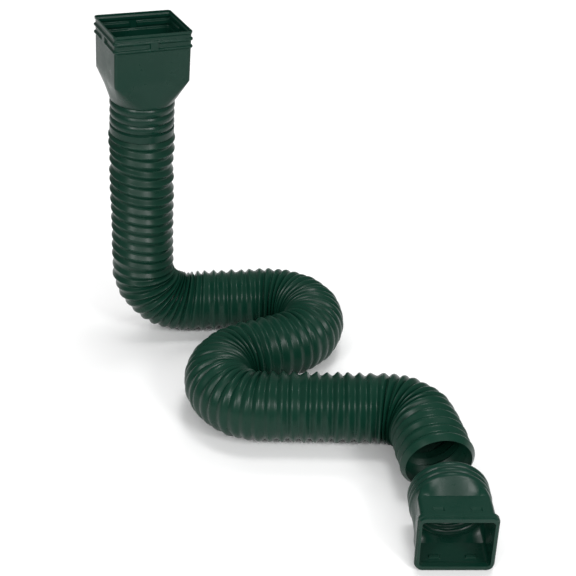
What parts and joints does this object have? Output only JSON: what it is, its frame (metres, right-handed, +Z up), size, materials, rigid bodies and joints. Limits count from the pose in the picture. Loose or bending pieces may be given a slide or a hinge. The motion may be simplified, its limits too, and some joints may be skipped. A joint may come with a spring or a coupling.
{
  "type": "flexible downspout extension",
  "caption": "Corrugated downspout hose laid in an S on the ground, with a rectangular inlet adapter on its raised end and a flanged outlet adapter by its open end.",
  "frame": {"origin": "middle of the footprint, on the ground", "axes": "+Z up, +X along the ground runs from the upright towards the open end, -Y the way the outlet mouth faces"},
  "size_m": [0.4964, 0.5711, 0.4874],
  "materials": {
    "hose_plastic": "satin dark green moulded polypropylene",
    "adapter_plastic": "satin dark green moulded polypropylene"
  },
  "bodies": {
    "root": {"inlet_adapter": "adapter_plastic", "flexible_hose": "hose_plastic", "outlet_adapter": "adapter_plastic"}
  },
  "joints": []
}
